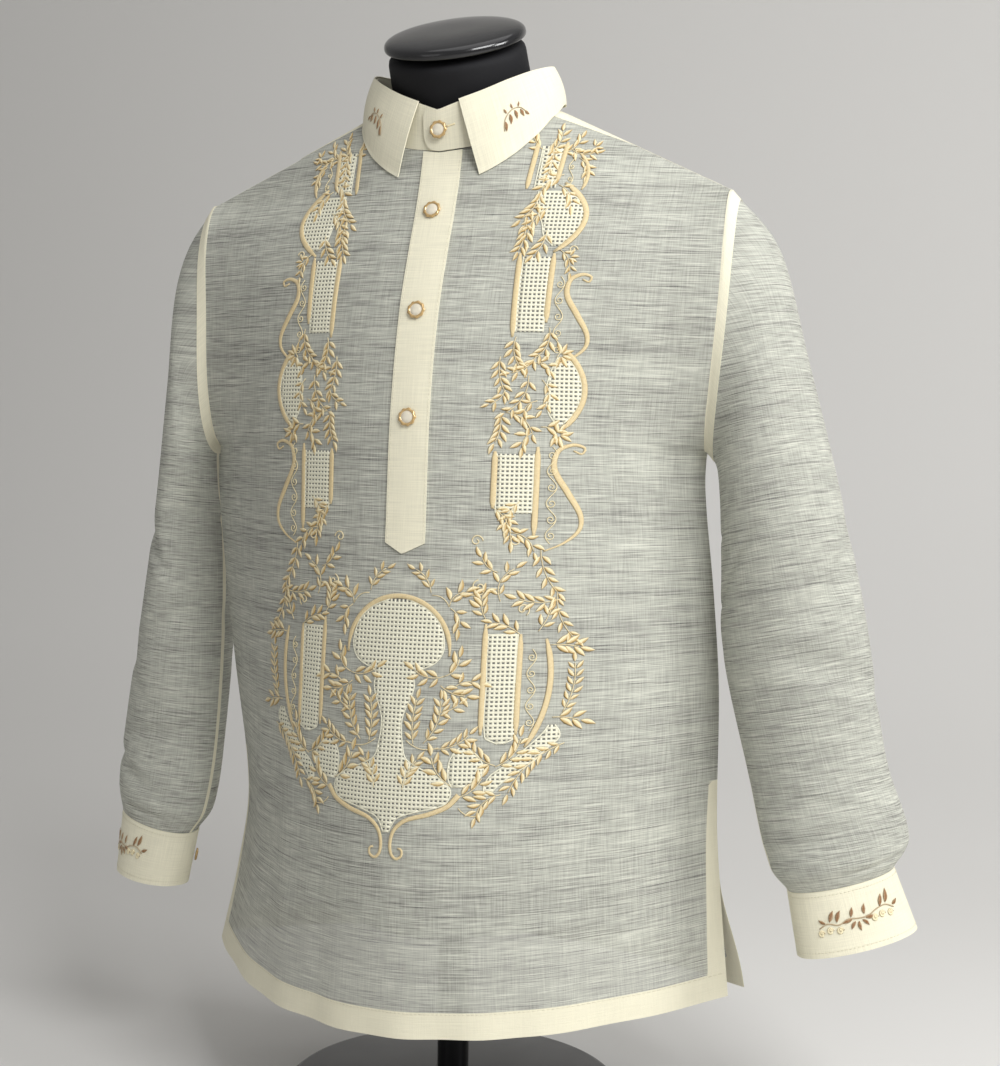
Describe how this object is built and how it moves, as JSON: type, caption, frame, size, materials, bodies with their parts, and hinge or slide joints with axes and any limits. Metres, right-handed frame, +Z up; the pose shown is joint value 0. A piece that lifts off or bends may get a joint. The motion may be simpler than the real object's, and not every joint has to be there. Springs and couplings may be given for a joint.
{
  "type": "barong tagalog on a limbless dress form",
  "caption": "Sheer long-sleeved embroidered shirt with pointed collar, half placket and cuffs, standing filled out on a smooth torso form with pole and round base.",
  "frame": {"origin": "centre of the underside of the round base, on the floor", "axes": "Z up, the front of the shirt faces -Y, +X is the viewer's right"},
  "size_m": [0.75, 0.3195, 0.9598],
  "materials": {
    "sheer_cloth": "sheer plain weave with slubs",
    "doubled_cloth": "two layers of the same cloth, opaque",
    "button_shell": "pearly, scalloped rim",
    "form_cover": "close black stretch cover",
    "form_cap": "glossy",
    "stand_pole": "satin black",
    "stand_base": "satin black"
  },
  "bodies": {
    "root": {"front": "sheer_cloth", "back": "sheer_cloth", "yoke": "doubled_cloth", "left_sleeve": "sheer_cloth", "left_armhole_band": "doubled_cloth", "right_sleeve": "sheer_cloth", "right_armhole_band": "doubled_cloth", "left_cuff": "doubled_cloth", "left_cuff_button": "button_shell", "right_cuff": "doubled_cloth", "right_cuff_button": "button_shell", "collar_stand": "doubled_cloth", "collar_fall": "doubled_cloth", "placket": "doubled_cloth", "button_1": "button_shell", "button_2": "button_shell", "button_3": "button_shell", "button_4": "button_shell", "front_hem": "doubled_cloth", "back_hem": "doubled_cloth", "front_left_facing": "doubled_cloth", "front_right_facing": "doubled_cloth", "back_left_facing": "doubled_cloth", "back_right_facing": "doubled_cloth", "form_torso": "form_cover", "neck_cap": "form_cap", "pole": "stand_pole", "base": "stand_base"}
  },
  "joints": []
}
